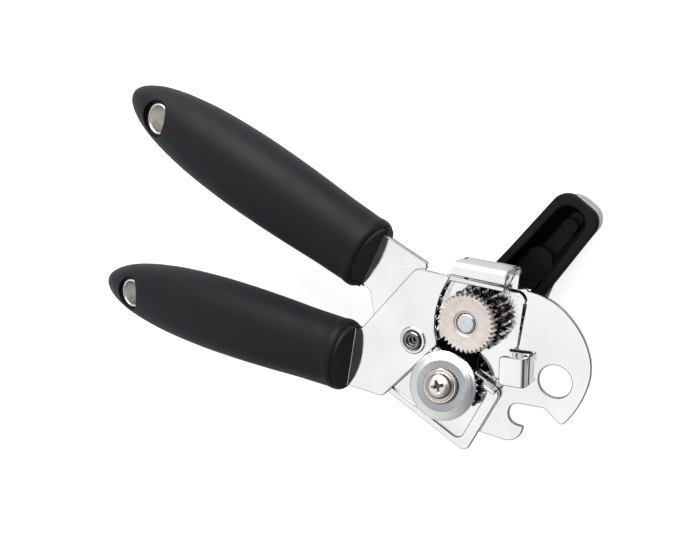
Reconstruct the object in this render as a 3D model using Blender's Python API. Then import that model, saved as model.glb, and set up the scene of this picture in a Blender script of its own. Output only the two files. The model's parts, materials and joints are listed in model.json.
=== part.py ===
"""Manual can opener: two pivoting arms, a geared feed wheel on a butterfly knob, and a tilted cutting wheel.

Drawn in millimetres with the handle pivot at x = y = 0 and the front face of the
front plate at z = 0. Every body then moves so that the feed axis meets the outer
face of the knob at the world origin.
"""

import math
from collections import namedtuple

import bmesh
import bpy
from mathutils import Matrix, Vector

MM = 0.001
GAP = 0.3

# Feed axis, measured from the handle pivot, and the outer face of the knob.
FEED_X = 19.6
FEED_Y = 11.2
KNOB_FACE = -26.0

# Sheet metal: each level is the front face of one layer.
SHEET = 1.5
FRONT_LEVEL = 0.0
ARM_LEVEL = -1.8
HEAD_LEVEL = -3.7
FLOOR_LEVEL = -4.7
POCKET_RIM = -0.3

# Arms.
ARM_ANGLE = math.radians(-21.6)
LOWER_AXIS = -12.5
UPPER_AXIS = 14.2
PLATE_WIDTH = 20.0
PIVOT_BORE = 2.9

# Grips: oval, longest across the plates. Each runs from its open end back to its
# tip, drifting sideways by sway and towards the knob side by lean.
Grip = namedtuple("Grip", "end axis height length sway lean plate")
LOWER_GRIP = Grip(-24.8, -12.0, -0.6, 133.0, 0.9, -4.1, FRONT_LEVEL - SHEET / 2.0)
UPPER_GRIP = Grip(-27.8, 14.9, -3.1, 129.2, -0.8, -0.4, ARM_LEVEL - SHEET / 2.0)
GRIP_FLATNESS = 0.89
GRIP_STATIONS = ((0.0, 0.0), (0.009, 3.1), (0.03, 5.4), (0.06, 7.4), (0.106, 9.6), (0.167, 11.5), (0.242, 13.0),
                 (0.348, 14.3), (0.5, 14.9), (0.636, 14.6), (0.758, 13.9), (0.864, 13.05), (0.932, 12.7),
                 (0.966, 12.75), (0.983, 12.5), (0.994, 11.8), (1.0, 11.0))
PLUG_REACH = 2.0
PLUG_HALF = 10.8
SHOULDER = 0.6
TANG_WIDTH = 8.0
TANG_LENGTH = 36.0
EYELET_FROM_TIP = 24.0
EYELET_RADIUS = 5.7
EYELET_WALL = 0.5
EYELET_HALF_HEIGHT = 7.8
EYELET_MOUTH = 7.3

# Head plate.
HOLE_X = 46.3
HOLE_Y = -2.3
HOLE_RADIUS = 5.0

# Rim guides: the channel above the feed wheel and the folded square tab.
GUIDE_LEFT = 13.4
GUIDE_RIGHT = 30.6
GUIDE_TOP = 29.6
GUIDE_FRONT = 6.0
GUIDE_LIP = 4.2
TAB_X = 34.6
TAB_Y = -1.1
TAB_ANGLE = math.radians(6.0)
TAB_FRONT = 1.9
TAB_HALF = 4.5
TAB_CORNER = 1.3
TAB_STATIONS = (-4.5, -4.45, -4.2, -3.8, -3.2, 3.2, 3.8, 4.2, 4.45, 4.5)

# Drive: feed wheel and drive gear on one spindle.
FEED_TEETH = 36
FEED_TIP = 9.3
FEED_ROOT = 8.3
FEED_FRONT = 5.1
FEED_BACK = 2.1
DRIVE_TEETH = 20
DRIVE_TIP = 10.1
DRIVE_ROOT = 7.6
DRIVE_FRONT = 0.1
DRIVE_BACK = -4.4
COLLAR_RADIUS = 5.0
SPINDLE_RADIUS = 3.1

# Knob.
KNOB_ANGLE = math.radians(57.9)
KNOB_HALF = 45.7
KNOB_RIM = -15.0
KNOB_SEAM = -17.0
KNOB_HUB_FRONT = -7.7
KNOB_WALL = 1.4

# Cutting wheel: its axis leans towards the feed wheel.
CUTTER_U = 16.9
CUTTER_V = -4.8
CUTTER_Z = 4.1
CUTTER_TILT = math.radians(16.0)
CUTTER_RADIUS = 10.9
CUTTER_TEETH = 20
CUTTER_GEAR_TIP = 10.6
CUTTER_GEAR_ROOT = 8.0
CUTTER_PHASE = math.radians(9.0)

STEEL = (0.80, 0.80, 0.82)
NICKEL = (0.72, 0.68, 0.64)
DARK_STEEL = (0.10, 0.10, 0.11)
BLACK = (0.03, 0.03, 0.035)
COVER_GREY = (0.55, 0.56, 0.58)


def clear_scene():
    for item in list(bpy.data.objects):
        bpy.data.objects.remove(item, do_unlink=True)


def material(name, colour, metallic, roughness):
    made = bpy.data.materials.new(name)
    made.use_nodes = True
    shader = made.node_tree.nodes["Principled BSDF"]
    shader.inputs["Base Color"].default_value = (*colour, 1.0)
    shader.inputs["Metallic"].default_value = metallic
    shader.inputs["Roughness"].default_value = roughness
    return made


def body(name, x, y, z, turn=None, parent=None):
    """An empty on the joint axis; the pieces of the body are drawn in its frame."""
    empty = bpy.data.objects.new(name, None)
    bpy.context.scene.collection.objects.link(empty)
    spot = Vector((x, y, z)) * MM
    if parent is None:
        spot -= Vector((FEED_X, FEED_Y, KNOB_FACE)) * MM
    empty.parent = parent
    empty.location = spot
    empty.rotation_euler = (turn or Matrix.Identity(3)).to_euler()
    return empty


def piece(name, shape, owner, look=None, smooth=False):
    """Turns a bmesh in millimetres into an object of the body."""
    bmesh.ops.recalc_face_normals(shape, faces=shape.faces)
    bmesh.ops.scale(shape, vec=(MM, MM, MM), verts=shape.verts)
    mesh = bpy.data.meshes.new(name)
    shape.to_mesh(mesh)
    shape.free()
    made = bpy.data.objects.new(name, mesh)
    bpy.context.scene.collection.objects.link(made)
    made.parent = owner
    if look:
        mesh.materials.append(material(name + "_look", *look))
    for face in mesh.polygons:
        face.use_smooth = smooth
    if smooth:
        mesh.set_sharp_from_angle(angle=math.radians(35.0))
    return made


def combine(target, tool, operation):
    """Joins a hidden helper to the piece, or cuts it away."""
    tool.hide_render = True
    tool.display_type = "WIRE"
    step = target.modifiers.new(tool.name, "BOOLEAN")
    step.object = tool
    step.operation = operation
    step.solver = "EXACT"


def join(target, name, shape):
    combine(target, piece(name, shape, target.parent), "UNION")


def cut(target, name, shape):
    combine(target, piece(name, shape, target.parent), "DIFFERENCE")


def loft(loops, closed=False):
    """Skins loops of equal length, and caps the ends unless the skin closes on itself."""
    shape = bmesh.new()
    rings = [[shape.verts.new(point) for point in loop] for loop in loops]
    pairs = list(zip(rings, rings[1:]))
    if closed:
        pairs.append((rings[-1], rings[0]))
    for first, second in pairs:
        for i in range(len(first)):
            j = (i + 1) % len(first)
            shape.faces.new((first[i], first[j], second[j], second[i]))
    if not closed:
        shape.faces.new(rings[0])
        shape.faces.new(rings[-1])
    return shape


def level(loop, z):
    return [(x, y, z) for x, y in loop]


def prism(loop, low, high):
    return loft([level(loop, low), level(loop, high)])


def circle(radius, count, x=0.0, y=0.0):
    steps = [2.0 * math.pi * i / count for i in range(count)]
    return [(x + radius * math.cos(a), y + radius * math.sin(a)) for a in steps]


def disc(radius, low, high, x=0.0, y=0.0, count=32):
    return prism(circle(radius, count, x, y), low, high)


def tube(profile, count=48):
    """A ring turned about z from a closed outline of (radius, z)."""
    return loft([level(circle(radius, count), z) for radius, z in profile], closed=True)


def turned(profile, count=48):
    """A solid turned about z from an open outline of (radius, z)."""
    return loft([level(circle(radius, count), z) for radius, z in profile])


def box(low_x, high_x, low_y, high_y, low_z, high_z):
    loop = [(low_x, low_y), (high_x, low_y), (high_x, high_y), (low_x, high_y)]
    return prism(loop, low_z, high_z)


def rounded(corners, steps=5):
    """A polygon whose corners (x, y, radius) are replaced by arcs."""
    outline = []
    for i, (x, y, radius) in enumerate(corners):
        here = Vector((x, y))
        before = (Vector(corners[i - 1][:2]) - here).normalized()
        after = (Vector(corners[(i + 1) % len(corners)][:2]) - here).normalized()
        if radius <= 0.0:
            outline.append((x, y))
            continue
        half = before.angle(after) / 2.0
        centre = here + (before + after).normalized() * radius / math.sin(half)
        first = here + before * radius / math.tan(half) - centre
        last = here + after * radius / math.tan(half) - centre
        sweep = first.angle_signed(last)
        for k in range(steps + 1):
            arm = first.copy()
            arm.rotate(Matrix.Rotation(-sweep * k / steps, 2))
            outline.append(tuple(centre + arm))
    return outline


def toothed(count, root, tip, root_share, tip_share, phase=0.0):
    """One gear outline: four points a tooth."""
    pitch = 2.0 * math.pi / count
    outline = []
    for i in range(count):
        middle = i * pitch + phase
        for radius, offset in ((root, -root_share), (tip, -tip_share), (tip, tip_share), (root, root_share)):
            angle = middle + offset * pitch / 2.0
            outline.append((radius * math.cos(angle), radius * math.sin(angle)))
    return outline


def beneath(loop, radius):
    """The circle whose points lie under those of an outline."""
    return [(radius * x / math.hypot(x, y), radius * y / math.hypot(x, y)) for x, y in loop]


def moved(shape, x=0.0, y=0.0, z=0.0, angle=0.0):
    turn = Matrix.Translation((x, y, z)) @ Matrix.Rotation(angle, 4, "Z")
    bmesh.ops.transform(shape, matrix=turn, verts=shape.verts)
    return shape


# ---------------------------------------------------------------- lower arm


def pocket_wall(offset):
    """The curved side of the gear pocket, from its lower end to the top."""
    side = [(8.4, 1.8), (7.3, 5.0), (6.95, 9.0), (7.2, 13.0), (8.0, 17.0), (9.4, 20.6), (10.6, 23.4)]
    return [(x - offset, y) for x, y in side]


def head_plate(owner):
    lower = LOWER_AXIS - PLATE_WIDTH / 2.0
    upper = LOWER_AXIS + PLATE_WIDTH / 2.0
    end = LOWER_GRIP.end
    shoulder = end + SHOULDER
    tang = TANG_WIDTH / 2.0
    front = rounded([
        (end - TANG_LENGTH, LOWER_AXIS - tang, 1.5), (shoulder, LOWER_AXIS - tang, 0.0),
        (shoulder, lower, 0.5), (-9.6, lower, 2.5), (8.6, 0.5, 0.8), (8.4, 1.8, 0.0),
        (7.3, 5.0, 0.0), (6.95, 9.0, 0.0), (7.2, 13.0, 0.0), (8.0, 17.0, 0.0), (9.4, 20.6, 0.0),
        (10.6, 23.4, 0.0), (-1.6, 23.8, 3.2), (-20.2, -0.8, 5.0), (shoulder, upper, 0.5),
        (shoulder, LOWER_AXIS + tang, 0.0), (end - TANG_LENGTH, LOWER_AXIS + tang, 1.5)])
    plate = piece("head_plate", prism(front, FRONT_LEVEL - SHEET, FRONT_LEVEL), owner, (STEEL, 1.0, 0.12))
    wall = pocket_wall(0.0) + pocket_wall(SHEET)[::-1]
    join(plate, "wall_side", prism(wall, FLOOR_LEVEL - SHEET, FRONT_LEVEL - 0.4))
    floor = pocket_wall(SHEET)[::-1] + [(21.2, 1.8), (21.2, -10.0), (28.8, -10.0), (34.8, -8.0), (34.8, 23.4)]
    join(plate, "pocket_floor", prism(floor, FLOOR_LEVEL - SHEET, FLOOR_LEVEL))
    join(plate, "wall_top", box(8.6, 28.4, 23.4 - SHEET, 23.45, FLOOR_LEVEL - SHEET + 0.1, POCKET_RIM))
    join(plate, "head", prism(head_outline(), HEAD_LEVEL - SHEET, HEAD_LEVEL))
    guide_web = rounded([(GUIDE_LEFT, 22.2, 0.0), (GUIDE_RIGHT + 0.6, 22.2, 0.0),
                         (GUIDE_RIGHT + 0.6, GUIDE_TOP, 1.5), (GUIDE_LEFT, GUIDE_TOP, 0.0)])
    join(plate, "guide_web", prism(guide_web, HEAD_LEVEL - SHEET, HEAD_LEVEL))
    section = rounded([(HEAD_LEVEL - SHEET + 0.05, GUIDE_TOP - 0.05, 0.0),
                       (HEAD_LEVEL - SHEET + 0.05, GUIDE_TOP - SHEET, 0.0),
                       (GUIDE_FRONT - SHEET, GUIDE_TOP - SHEET, 0.6), (GUIDE_FRONT - SHEET, GUIDE_TOP - GUIDE_LIP, 0.0),
                       (GUIDE_FRONT, GUIDE_TOP - GUIDE_LIP, 0.0), (GUIDE_FRONT, GUIDE_TOP - 0.05, 1.6)], 4)
    channel = loft([[(x, y, z) for z, y in section] for x in (GUIDE_LEFT + 0.05, GUIDE_RIGHT)])
    join(plate, "guide_channel", channel)
    join(plate, "tab", rim_tab())
    cut(plate, "head_hole", disc(HOLE_RADIUS, -9.0, 2.0, HOLE_X, HOLE_Y, 40))
    cut(plate, "pivot_hole", disc(PIVOT_BORE, -4.0, 2.0))
    cut(plate, "spindle_hole", disc(4.9, -9.0, -2.0, FEED_X, FEED_Y))
    return plate


def head_outline():
    """Outer edge of the head: rounded nose, piercing point, crown-cap notch and hook."""
    return rounded([
        (33.2, 22.9, 0.0), (43.0, 22.3, 20.0), (52.6, 13.6, 24.0), (56.8, 4.0, 17.0), (54.9, -7.6, 34.0),
        (50.2, -15.6, 1.6), (44.4, -11.4, 1.6), (33.6, -12.6, 3.2), (33.6, -19.4, 3.2), (38.8, -19.2, 0.4),
        (38.5, -25.4, 5.6), (22.0, -25.4, 2.0), (21.6, -18.4, 2.4), (28.2, -15.6, 2.2), (28.2, -6.5, 0.0),
        (33.2, -5.2, 0.0)])


def tab_corner(y):
    """How far the tab's free edge draws back at y, for its rounded corners."""
    over = max(0.0, abs(y) - (TAB_HALF - TAB_CORNER))
    return TAB_CORNER - math.sqrt(TAB_CORNER ** 2 - over ** 2)


def rim_tab():
    """The square tab folded up from the head, open towards the feed wheel."""
    back = HEAD_LEVEL - 0.5
    loops = []
    for y in TAB_STATIONS:
        free = -3.9 + tab_corner(y)
        section = rounded([(2.7, back, 0.0), (4.2, back, 0.0), (4.2, TAB_FRONT, 1.6), (free, TAB_FRONT, 0.0),
                           (free, TAB_FRONT - SHEET, 0.0), (2.7, TAB_FRONT - SHEET, 0.4)], 4)
        loops.append([(x, y, z) for x, z in section])
    return moved(loft(loops), TAB_X, TAB_Y, 0.0, TAB_ANGLE)


def grip_half(share):
    """Half width of a grip at a share of its length from the tip."""
    i = max(k for k in range(len(GRIP_STATIONS) - 1) if GRIP_STATIONS[k][0] <= share + 1e-9)
    (x0, y0), (x1, y1) = GRIP_STATIONS[i], GRIP_STATIONS[i + 1]
    return y0 + (y1 - y0) * (share - x0) / (x1 - x0)


def grip_axis(side, x):
    """Where the middle of a grip lies at x."""
    share = (side.end - x) / side.length
    return side.axis + side.sway * share, side.height + side.lean * share


def grip_ring(side, x, radius, count=36):
    y, z = grip_axis(side, x)
    return [(x, y + a, z + b * GRIP_FLATNESS) for a, b in circle(radius, count)]


def eyelet_spot(side):
    x = side.end - side.length + EYELET_FROM_TIP
    return (x, *grip_axis(side, x))


def grip(owner, name, side, rings=26):
    shares = [(1.0 - math.cos(math.pi * k / rings)) / 2.0 for k in range(1, rings + 1)]
    loops = [grip_ring(side, side.end - side.length * (1.0 - share), grip_half(share)) for share in shares]
    made = piece(name, loft(loops), owner, (BLACK, 0.0, 0.55), smooth=True)
    x, y, z = eyelet_spot(side)
    rim = EYELET_HALF_HEIGHT - 0.4
    cut(made, name + "_eye", disc(EYELET_RADIUS + GAP, z - 20.0, z + 20.0, x, y, 32))
    cut(made, name + "_mouth_front", disc(EYELET_MOUTH, z + rim, z + 20.0, x, y, 32))
    cut(made, name + "_mouth_back", disc(EYELET_MOUTH, z - 20.0, z - rim, x, y, 32))
    tang_room = tang_space(side, side.end - TANG_LENGTH - GAP)
    cut(made, name + "_tang_room", tang_room)
    cut(made, name + "_socket", loft([grip_ring(side, side.end + x, 9.2) for x in (-7.0, 9.0)]))
    return made


def tang_space(side, start):
    """Room for the tang of the plate, with a gap all round."""
    axis = LOWER_AXIS if side is LOWER_GRIP else UPPER_AXIS
    room = TANG_WIDTH / 2.0 + GAP
    half = SHEET / 2.0 + GAP
    return box(start, side.end + 9.0, axis - room, axis + room, side.plate - half, side.plate + half)


def plug_nose(side, steps=12):
    """Two slanted faces that run from the rim of the grip to a straight edge at the plate."""
    rows = []
    for k in range(steps + 1):
        rise = 0.985 * math.sin(math.pi * (k / steps - 0.5))
        half = PLUG_HALF * math.sqrt(1.0 - rise * rise)
        start = side.end + GAP
        front = start + 0.4 + (PLUG_REACH - 0.7) * (1.0 - abs(rise))
        y, z = grip_axis(side, side.end)
        z += rise * PLUG_HALF * GRIP_FLATNESS
        rows.append([(start, y - half, z), (front, y - half, z), (front, y + half, z), (start, y + half, z)])
    return loft(rows)


def grip_plug(owner, name, side):
    """The end plug that closes the grip round the plate: a core in the socket and a wedge outside it."""
    core = loft([grip_ring(side, side.end + x, 8.6) for x in (-6.7, 0.7)])
    made = piece(name, core, owner, (BLACK, 0.0, 0.35), smooth=True)
    join(made, name + "_nose", plug_nose(side))
    half = SHEET / 2.0 + GAP
    slot = box(side.end + SHOULDER - GAP, side.end + 9.0, side.axis - 15.0, side.axis + 15.0,
               side.plate - half, side.plate + half)
    cut(made, name + "_slot", slot)
    cut(made, name + "_tang_slot", tang_space(side, side.end - 20.0))
    return made


def eyelet(owner, name, side):
    half = EYELET_HALF_HEIGHT
    inner = EYELET_RADIUS - EYELET_WALL
    shape = tube([(EYELET_RADIUS, -half), (EYELET_RADIUS, half - 0.3), (EYELET_RADIUS - 0.2, half),
                  (inner + 0.1, half), (inner, half - 0.3), (inner, -half)], 36)
    return piece(name, moved(shape, *eyelet_spot(side)), owner, (NICKEL, 1.0, 0.2), smooth=True)


def pivot_rivet(owner):
    """Tubular rivet: hollow front rim, shank through both plates, spread back head."""
    back = ARM_LEVEL - SHEET
    shape = turned([(1.0, -0.9), (1.7, 0.9), (2.3, 1.25), (3.0, 1.05), (3.1, 0.7), (2.6, 0.55), (2.6, back - 0.4),
                    (3.9, back - 0.4), (3.9, back - 1.0), (3.0, back - 1.5)], 32)
    return piece("pivot_rivet", shape, owner, (NICKEL, 1.0, 0.25), smooth=True)


def pivot_washer(owner):
    shape = tube([(4.6, 0.1), (4.6, 0.3), (4.3, 0.55), (3.5, 0.55), (3.5, 0.3), (2.8, 0.1)], 40)
    moved(shape, z=0.0)
    return piece("pivot_washer", shape, owner, (STEEL, 1.0, 0.2), smooth=True)


def spindle_bush(owner):
    back = FLOOR_LEVEL - SHEET
    shape = tube([(4.6, FLOOR_LEVEL - 0.05), (4.6, back - 0.1), (3.3, back - 0.1), (3.3, FLOOR_LEVEL - 0.05)], 32)
    return piece("spindle_bush", moved(shape, FEED_X, FEED_Y), owner, (NICKEL, 1.0, 0.3), smooth=True)


# ---------------------------------------------------------------- drive


def spindle(owner):
    shape = turned([(2.6, FEED_FRONT - 0.15), (SPINDLE_RADIUS, FEED_FRONT - 0.45), (SPINDLE_RADIUS, -15.2),
                    (2.7, -15.6)], 32)
    return piece("spindle", shape, owner, (NICKEL, 1.0, 0.25), smooth=True)


def feed_wheel(owner):
    teeth = toothed(FEED_TEETH, FEED_ROOT, FEED_TIP, 0.84, 0.10)
    bore = SPINDLE_RADIUS + 0.2
    loops = [level(teeth, FEED_BACK), level(teeth, FEED_FRONT), level(beneath(teeth, 4.0), FEED_FRONT),
             level(beneath(teeth, 3.7), FEED_FRONT - 0.4), level(beneath(teeth, bore), FEED_FRONT - 0.4),
             level(beneath(teeth, bore), FEED_BACK)]
    return piece("feed_wheel", loft(loops, closed=True), owner, (NICKEL, 1.0, 0.35))


def drive_gear(owner):
    """The wide black gear, with the collar that spaces the feed wheel from it."""
    teeth = toothed(DRIVE_TEETH, DRIVE_ROOT, DRIVE_TIP, 0.58, 0.13)
    bore = SPINDLE_RADIUS + 0.2
    collar = FEED_BACK - 0.2
    loops = [level(teeth, DRIVE_BACK), level(teeth, DRIVE_FRONT), level(beneath(teeth, COLLAR_RADIUS), DRIVE_FRONT),
             level(beneath(teeth, COLLAR_RADIUS), collar), level(beneath(teeth, bore), collar),
             level(beneath(teeth, bore), DRIVE_BACK)]
    return piece("drive_gear", loft(loops, closed=True), owner, (DARK_STEEL, 1.0, 0.4))


def knob_washer(owner):
    back = FLOOR_LEVEL - SHEET
    shape = tube([(7.0, back - 0.3), (7.0, back - 1.1), (3.4, back - 1.1), (3.4, back - 0.3)], 36)
    return piece("knob_washer", shape, owner, (STEEL, 1.0, 0.25), smooth=True)


def knob_outline(inset, swell):
    """A long rounded bar; swell narrows its wings and widens its hub towards the outer face."""
    tip = 7.7 - inset - 0.8 * swell
    wing = 9.0 - inset - 1.7 * swell
    hub = 10.5 - inset + 3.2 * swell
    end = KNOB_HALF - inset
    turn = min(5.2, tip - 0.2)
    side = [(end, tip, turn)]
    side += [(u, wing + (tip - wing) * (u - 20.0) / (end - 20.0), 0.0) for u in (34.0, 27.0)]
    side += [(20.0, wing, 6.0)]
    side += [(u, hub + (wing - hub) * u / 20.0, 0.0) for u in (14.0, 10.0, 6.0)]
    side += [(0.0, hub, 10.0)]
    side += [(-u, v, radius) for u, v, radius in side[-2::-1]]
    return rounded(side + [(-u, -v, radius) for u, v, radius in side])


def knob_loops(*rows):
    return [level(knob_outline(inset, swell), z) for inset, swell, z in rows]


def knob_body(owner):
    """Black insert with a hollow face, held in the cover."""
    middle = -20.0
    rows = knob_loops((5.0, 0.7, -22.4), (4.0, 0.45, middle), (2.8, 0.0, KNOB_RIM), (0.5, 0.0, KNOB_RIM),
                      (0.0, 0.0, KNOB_RIM - 0.5), (0.0, 0.0, KNOB_SEAM + GAP), (1.9, 0.0, KNOB_SEAM + GAP),
                      (1.9, 0.45, middle), (2.2, 0.8, -23.6))
    made = piece("knob_body", loft(rows), owner, (BLACK, 0.0, 0.45), smooth=True)
    pad = rounded([(-26.0, -4.6, 4.4), (26.0, -4.6, 4.4), (26.0, 4.6, 4.4), (-26.0, 4.6, 4.4)])
    join(made, "knob_pad", prism(pad, -23.0, -19.6))
    join(made, "knob_hub", disc(6.8, -23.0, KNOB_HUB_FRONT, count=36))
    for side in (-1.0, 1.0):
        join(made, "knob_post_%d" % side, disc(2.4, -23.0, -21.4, 36.0 * side, 0.0, 24))
    cut(made, "knob_bore", disc(SPINDLE_RADIUS + 0.2, -16.0, 0.0))
    return made


def knob_cover(owner):
    """Satin metal-finish shell over the far side of the knob."""
    wall = KNOB_WALL
    rows = knob_loops((wall + 0.4, 0.85, KNOB_FACE + 2.0), (wall, 0.45, -20.0), (wall, 0.0, KNOB_SEAM),
                      (0.15, 0.0, KNOB_SEAM), (0.1, 0.45, -20.0), (0.1, 0.9, KNOB_FACE + 2.2),
                      (0.5, 1.0, KNOB_FACE + 1.0), (1.3, 1.0, KNOB_FACE + 0.3), (2.6, 1.0, KNOB_FACE))
    return piece("knob_cover", loft(rows), owner, (COVER_GREY, 1.0, 0.35), smooth=True)


# ---------------------------------------------------------------- upper arm


def cutter_plate(owner):
    end = UPPER_GRIP.end
    shoulder = end + SHOULDER
    lower = UPPER_AXIS - PLATE_WIDTH / 2.0
    upper = UPPER_AXIS + PLATE_WIDTH / 2.0
    tang = TANG_WIDTH / 2.0
    top, back = ARM_LEVEL, ARM_LEVEL - SHEET
    outline = rounded([
        (end - TANG_LENGTH, UPPER_AXIS - tang, 1.5), (shoulder, UPPER_AXIS - tang, 0.0),
        (shoulder, lower + 0.8, 0.5), (-22.6, lower + 0.6, 3.0), (-17.6, -1.6, 6.0), (-6.0, -22.7, 6.0),
        (32.6, -22.7, 2.6), (32.6, 2.4, 2.6), (6.3, 2.3, 1.0), (4.2, 4.6, 1.5), (-2.6, 7.4, 2.5),
        (-9.6, 18.8, 2.0), (-7.6, 22.8, 0.4), (-8.4, upper, 0.6), (shoulder, upper, 0.5),
        (shoulder, UPPER_AXIS + tang, 0.0), (end - TANG_LENGTH, UPPER_AXIS + tang, 1.5)])
    plate = piece("cutter_plate", prism(outline, back, top), owner, (STEEL, 1.0, 0.12))
    flange = box(shoulder + 3.2, -8.6, upper - SHEET, upper - 0.02, back - 0.9, top - 0.1)
    join(plate, "top_flange", flange)
    lip = rounded([(26.2, 0.9, 0.0), (31.0, 0.9, 0.6), (31.6, 2.38, 0.6), (26.2, 2.38, 0.0)], 3)
    join(plate, "corner_lip", prism(lip, back + 0.1, top + 1.6))
    hollow = rounded([(-3.0, -20.3, 1.0), (28.9, -20.3, 2.6), (28.9, -0.2, 1.5), (-3.0, -0.2, 1.0)])
    cut(plate, "seat_hollow", prism([(x, y) for x, y in hollow if x > -9.0], top - 0.7, top + 3.0))
    cut(plate, "pivot_hole_back", disc(PIVOT_BORE, back - 2.0, top + 2.0))
    return plate


def tilted(shape):
    """Moves a shape drawn along the cutter axis into the frame of the upper arm."""
    turn = Matrix.Translation((CUTTER_U, CUTTER_V, CUTTER_Z)) @ Matrix.Rotation(-CUTTER_TILT, 4, "X")
    bmesh.ops.transform(shape, matrix=turn, verts=shape.verts)
    return shape


def cutter_seat(owner):
    """Wedge that leans the cutter axis towards the feed wheel."""
    made = piece("cutter_seat", tilted(turned([(5.4, -12.0), (5.4, -3.9), (4.9, -3.6)], 36)), owner,
                 (STEEL, 1.0, 0.3), smooth=True)
    cut(made, "seat_foot", box(0.0, 34.0, -22.0, 12.0, -30.0, ARM_LEVEL - 0.4))
    cut(made, "seat_bore", tilted(disc(2.2, -20.0, 0.0)))
    return made


def cutter_bush(owner):
    shape = tube([(3.1, -3.3), (3.1, 1.5), (2.2, 1.5), (2.2, -3.3)], 32)
    return piece("cutter_bush", tilted(shape), owner, (NICKEL, 1.0, 0.25), smooth=True)


def cutter_washer(owner):
    shape = tube([(5.5, 1.8), (5.5, 2.2), (5.2, 2.5), (2.2, 2.5), (2.2, 1.8)], 40)
    return piece("cutter_washer", tilted(shape), owner, (NICKEL, 1.0, 0.25), smooth=True)


def cutter_screw(owner):
    """Domed cross-head screw through the wheel, the seat and the plate."""
    head = [(3.95, 2.8), (3.95, 3.4), (3.5, 4.1), (2.6, 4.7), (1.3, 5.0)]
    made = piece("cutter_screw", tilted(turned([(1.6, -10.4), (1.9, -10.0), (1.9, 2.8)] + head, 32)), owner,
                 (NICKEL, 1.0, 0.2), smooth=True)
    for k in range(2):
        wide, thin = (1.9, 0.45) if k else (0.45, 1.9)
        cross = loft([level([(-wide * f, -thin * f), (wide * f, -thin * f), (wide * f, thin * f),
                             (-wide * f, thin * f)], z) for f, z in ((0.45, 3.3), (1.0, 5.6))])
        cut(made, "screw_cross_%d" % k, tilted(cross))
    cut(owner_plate(owner), "screw_hole", tilted(disc(2.2, -20.0, -2.0)))
    return made


def owner_plate(owner):
    return next(item for item in bpy.data.objects if item.parent == owner and item.name == "cutter_plate")


def cutter_nut(owner):
    shape = tube([(3.9, -10.0), (3.9, -7.9), (2.2, -7.9), (2.2, -10.0)], 6)
    made = piece("cutter_nut", tilted(shape), owner, (NICKEL, 1.0, 0.3))
    cut(made, "nut_face", box(0.0, 34.0, -22.0, 12.0, ARM_LEVEL - SHEET - GAP, 10.0))
    return made


# ---------------------------------------------------------------- cutter


def cutter_wheel(owner):
    """Cutting disc: flat ring, long front bevel, thin edge."""
    profile = [(3.4, 1.1), (8.1, 1.1), (CUTTER_RADIUS, 0.1), (CUTTER_RADIUS, -0.05), (10.3, -0.5), (3.4, -0.5)]
    return piece("cutter_wheel", tube(profile, 72), owner, (STEEL, 1.0, 0.18), smooth=True)


def cutter_gear(owner):
    teeth = toothed(CUTTER_TEETH, CUTTER_GEAR_ROOT, CUTTER_GEAR_TIP, 0.58, 0.13, CUTTER_PHASE)
    loops = [level(teeth, -3.3), level(teeth, -0.8), level(beneath(teeth, 3.4), -0.8), level(beneath(teeth, 3.4), -3.3)]
    return piece("cutter_gear", loft(loops, closed=True), owner, (DARK_STEEL, 1.0, 0.4))


def build():
    clear_scene()
    lower = body("lower_arm_body", 0.0, 0.0, 0.0)
    head_plate(lower)
    grip(lower, "lower_grip", LOWER_GRIP)
    grip_plug(lower, "lower_grip_plug", LOWER_GRIP)
    eyelet(lower, "lower_eyelet", LOWER_GRIP)
    pivot_rivet(lower)
    pivot_washer(lower)
    spindle_bush(lower)

    drive = body("drive_body", FEED_X, FEED_Y, 0.0, Matrix.Rotation(KNOB_ANGLE, 3, "Z"))
    spindle(drive)
    feed_wheel(drive)
    drive_gear(drive)
    knob_washer(drive)
    knob_body(drive)
    knob_cover(drive)

    upper = body("upper_arm_body", 0.0, 0.0, 0.0, Matrix.Rotation(ARM_ANGLE, 3, "Z"))
    cutter_plate(upper)
    grip(upper, "upper_grip", UPPER_GRIP)
    grip_plug(upper, "upper_grip_plug", UPPER_GRIP)
    eyelet(upper, "upper_eyelet", UPPER_GRIP)
    cutter_seat(upper)
    cutter_bush(upper)
    cutter_washer(upper)
    cutter_screw(upper)
    cutter_nut(upper)

    lean = Matrix.Rotation(-CUTTER_TILT, 3, "X")
    cutter = body("cutter_body", CUTTER_U, CUTTER_V, CUTTER_Z, lean, upper)
    cutter_wheel(cutter)
    cutter_gear(cutter)


build()
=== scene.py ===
"""Looks of the manual can opener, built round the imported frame.

Every piece is drawn in millimetres in the frame of the body that it belongs to.
"""

import json
import math

import bmesh
import bpy
from mathutils import Matrix, Vector

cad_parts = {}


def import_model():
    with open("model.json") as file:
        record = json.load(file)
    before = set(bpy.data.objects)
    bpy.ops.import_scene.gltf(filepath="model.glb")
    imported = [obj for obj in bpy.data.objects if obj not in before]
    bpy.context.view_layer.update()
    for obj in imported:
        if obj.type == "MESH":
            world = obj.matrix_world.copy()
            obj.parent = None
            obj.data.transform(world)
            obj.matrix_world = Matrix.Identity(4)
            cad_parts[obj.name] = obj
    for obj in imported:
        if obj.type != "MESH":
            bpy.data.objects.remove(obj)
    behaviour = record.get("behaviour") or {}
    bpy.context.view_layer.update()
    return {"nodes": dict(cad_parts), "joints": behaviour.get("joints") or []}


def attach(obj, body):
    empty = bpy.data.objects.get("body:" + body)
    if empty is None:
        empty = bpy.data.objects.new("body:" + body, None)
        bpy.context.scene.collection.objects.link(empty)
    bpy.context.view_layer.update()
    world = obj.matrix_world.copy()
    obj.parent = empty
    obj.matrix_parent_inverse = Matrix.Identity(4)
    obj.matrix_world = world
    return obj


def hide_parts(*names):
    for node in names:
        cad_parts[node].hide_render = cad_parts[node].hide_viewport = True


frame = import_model()

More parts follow.
